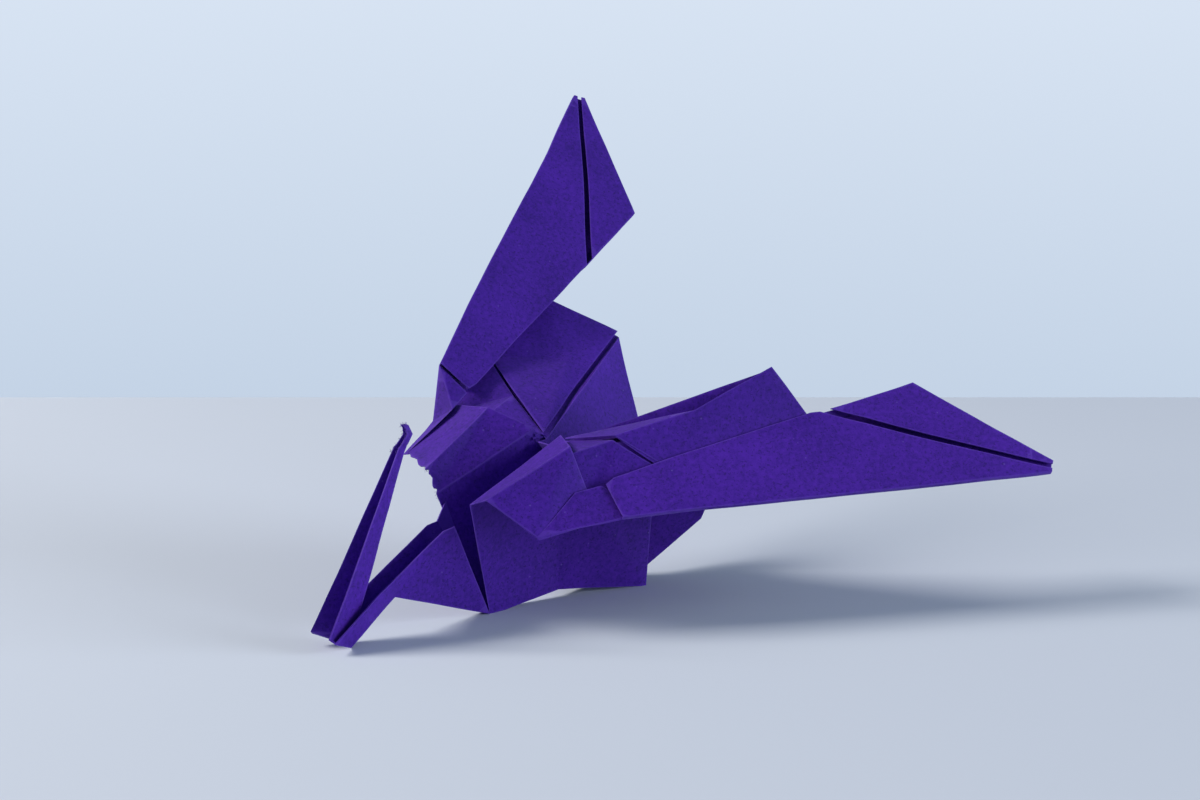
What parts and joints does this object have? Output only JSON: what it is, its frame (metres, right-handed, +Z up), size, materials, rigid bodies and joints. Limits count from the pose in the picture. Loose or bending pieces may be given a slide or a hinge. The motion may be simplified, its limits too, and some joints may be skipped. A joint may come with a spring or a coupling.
{
  "type": "folded paper dragon",
  "caption": "Dragon folded from one thin coloured paper square: raised and spread kite wings, pocketed back, trough neck and an upright horn that rests its chin on the floor.",
  "frame": {"origin": "on the floor, below the middle of the keel's flat foot", "axes": "+X from the head towards the tail, +Y towards the raised wing, +Z up"},
  "size_m": [0.1665, 0.1536, 0.117],
  "materials": {
    "paper": "matte dyed-through fibre paper"
  },
  "bodies": {
    "root": {"folded_sheet": "paper"}
  },
  "joints": []
}
